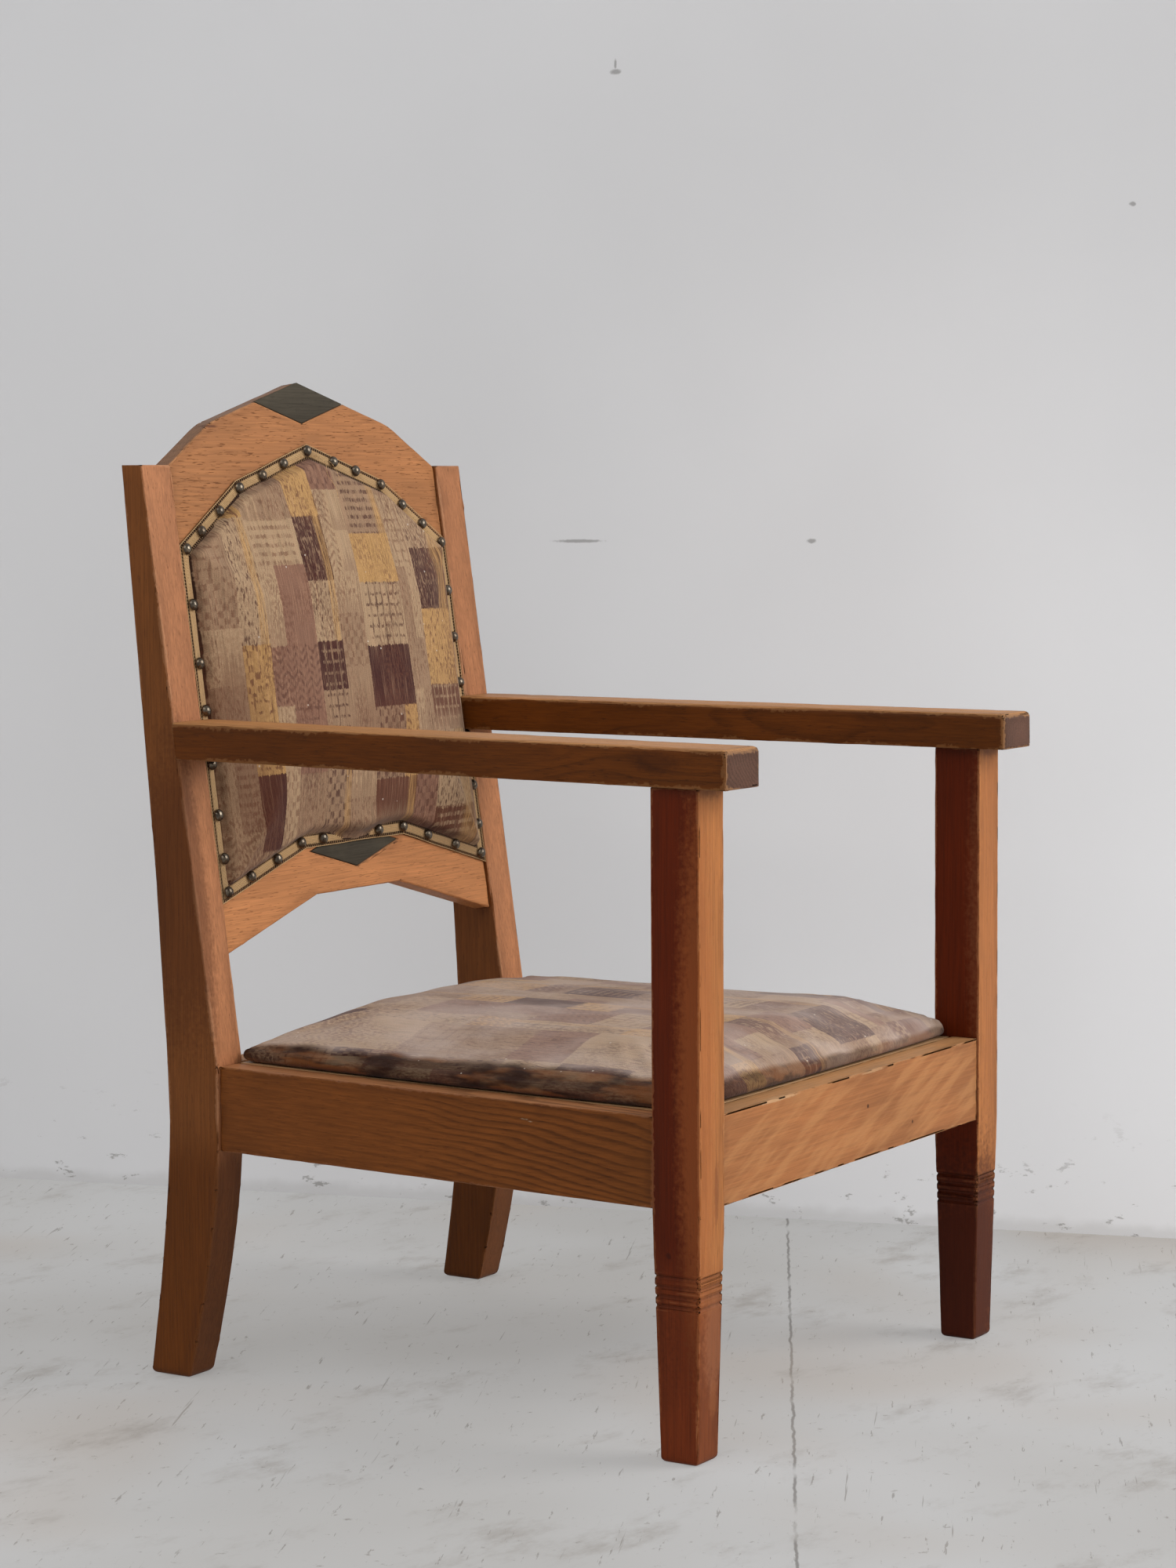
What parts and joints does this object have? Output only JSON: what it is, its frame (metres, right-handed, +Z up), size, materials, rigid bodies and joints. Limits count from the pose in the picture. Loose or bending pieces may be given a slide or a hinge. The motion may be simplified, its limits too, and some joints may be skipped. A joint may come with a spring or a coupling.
{
  "type": "armchair",
  "caption": "Oak armchair with flat arms, reeded front feet, a raked padded back edged with nailed braid, and a loose padded seat that lifts out of the rails.",
  "frame": {"origin": "middle of the bounding box, on the floor", "axes": "+Z up, the chair faces -Y, +X is to the right as seen from the front; left and right in the node names are as seen from the front"},
  "size_m": [0.5954, 0.6828, 0.9445],
  "materials": {
    "stained_oak": "worn satin stain",
    "ebonised_inlay": "flat dark stain",
    "plain_beech": "bare",
    "screw_steel": "dark",
    "jute_support": "coarse weave",
    "plush_cover": "printed short pile",
    "straw_braid": "woven openwork"
  },
  "bodies": {
    "frame": {"front_leg_left": "stained_oak", "front_leg_right": "stained_oak", "rear_leg_left": "stained_oak", "rear_leg_right": "stained_oak", "front_seat_rail": "stained_oak", "rear_seat_rail": "stained_oak", "side_seat_rail_left": "stained_oak", "side_seat_rail_right": "stained_oak", "arm_left": "stained_oak", "arm_right": "stained_oak", "crest_rail": "stained_oak", "lower_back_rail": "stained_oak", "back_batten_left": "stained_oak", "back_batten_right": "stained_oak", "crest_diamond": "ebonised_inlay", "lower_diamond": "ebonised_inlay", "arm_dowel_left_inner": "plain_beech", "arm_dowel_left_outer": "plain_beech", "arm_dowel_right_inner": "plain_beech", "arm_dowel_right_outer": "plain_beech", "corner_block_front_left": "plain_beech", "corner_block_front_right": "plain_beech", "corner_block_rear_left": "plain_beech", "corner_block_rear_right": "plain_beech", "corner_block_screw_front_left": "screw_steel", "corner_block_screw_front_right": "screw_steel", "corner_block_screw_rear_left": "screw_steel", "corner_block_screw_rear_right": "screw_steel", "seat_batten_front": "plain_beech", "seat_batten_rear": "plain_beech", "seat_batten_left": "plain_beech", "seat_batten_right": "plain_beech", "back_webbing_upright_1": "jute_support", "back_webbing_upright_2": "jute_support", "back_webbing_upright_3": "jute_support", "back_webbing_cross_1": "jute_support", "back_webbing_cross_2": "jute_support", "back_webbing_cross_3": "jute_support", "back_hessian": "jute_support", "back_pad": "plush_cover", "back_outside_cover": "plush_cover", "rear_braid": "straw_braid", "nailed_braid": "straw_braid"},
    "seat": {"seat_frame_front": "plain_beech", "seat_frame_rear": "plain_beech", "seat_frame_left": "plain_beech", "seat_frame_right": "plain_beech", "seat_webbing_long_1": "jute_support", "seat_webbing_long_2": "jute_support", "seat_webbing_long_3": "jute_support", "seat_webbing_long_4": "jute_support", "seat_webbing_cross_1": "jute_support", "seat_webbing_cross_2": "jute_support", "seat_webbing_cross_3": "jute_support", "seat_webbing_cross_4": "jute_support", "seat_hessian": "jute_support", "seat_pad": "plush_cover"}
  },
  "joints": [
    {"name": "seat_lift", "type": "slide", "parent": "frame", "child": "seat", "axis": [0, 0, 1], "range_m": [0, 0.1]}
  ]
}
